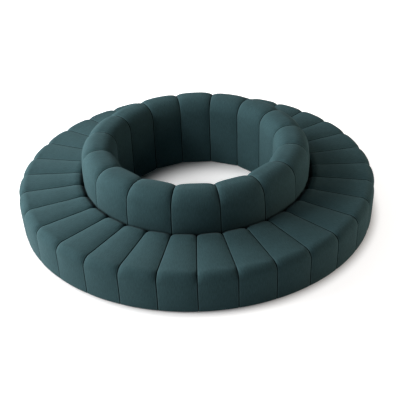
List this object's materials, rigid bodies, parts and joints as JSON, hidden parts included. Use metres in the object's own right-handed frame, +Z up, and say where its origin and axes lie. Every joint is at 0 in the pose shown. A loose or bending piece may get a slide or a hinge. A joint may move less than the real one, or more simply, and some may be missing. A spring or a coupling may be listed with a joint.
{
  "type": "round sofa",
  "caption": "Round modular sofa, sat on from outside: a ring of padded seat slices around a taller ring of backrest slices, open in the middle.",
  "frame": {"origin": "on the floor, at the centre of the ring", "axes": "+Z up; -Y towards the seat seam that faces the camera; +X to the right of it"},
  "size_m": [3.513, 3.513, 0.746],
  "materials": {
    "cover_fabric": "matte",
    "foam": "matte",
    "plywood": "matte",
    "zinc_steel": "satin",
    "glide_plastic": "matte"
  },
  "bodies": {
    "root": {"seat_cover_01": "cover_fabric", "seat_cover_02": "cover_fabric", "seat_cover_03": "cover_fabric", "seat_cover_04": "cover_fabric", "seat_cover_05": "cover_fabric", "seat_cover_06": "cover_fabric", "seat_cover_07": "cover_fabric", "seat_cover_08": "cover_fabric", "seat_cover_09": "cover_fabric", "seat_cover_10": "cover_fabric", "seat_cover_11": "cover_fabric", "seat_cover_12": "cover_fabric", "seat_cover_13": "cover_fabric", "seat_cover_14": "cover_fabric", "seat_cover_15": "cover_fabric", "seat_cover_16": "cover_fabric", "seat_cover_17": "cover_fabric", "seat_cover_18": "cover_fabric", "seat_cover_19": "cover_fabric", "seat_cover_20": "cover_fabric", "seat_cover_21": "cover_fabric", "seat_cover_22": "cover_fabric", "seat_cover_23": "cover_fabric", "seat_cover_24": "cover_fabric", "seat_cover_25": "cover_fabric", "seat_cover_26": "cover_fabric", "seat_cover_27": "cover_fabric", "seat_cover_28": "cover_fabric", "seat_cover_29": "cover_fabric", "seat_cover_30": "cover_fabric", "seat_cover_31": "cover_fabric", "seat_cover_32": "cover_fabric", "back_cover_01": "cover_fabric", "back_cover_02": "cover_fabric", "back_cover_03": "cover_fabric", "back_cover_04": "cover_fabric", "back_cover_05": "cover_fabric", "back_cover_06": "cover_fabric", "back_cover_07": "cover_fabric", "back_cover_08": "cover_fabric", "back_cover_09": "cover_fabric", "back_cover_10": "cover_fabric", "back_cover_11": "cover_fabric", "back_cover_12": "cover_fabric", "back_cover_13": "cover_fabric", "back_cover_14": "cover_fabric", "back_cover_15": "cover_fabric", "back_cover_16": "cover_fabric", "base_panels": "plywood", "seat_ribs": "plywood", "seat_cross_boards": "plywood", "seat_decks": "plywood", "back_ribs": "plywood", "back_cross_boards": "plywood", "seat_foam_cores": "foam", "back_foam_cores": "foam", "slice_screws": "zinc_steel", "joining_plates": "zinc_steel", "joining_screws": "zinc_steel", "glides": "glide_plastic"}
  },
  "joints": []
}
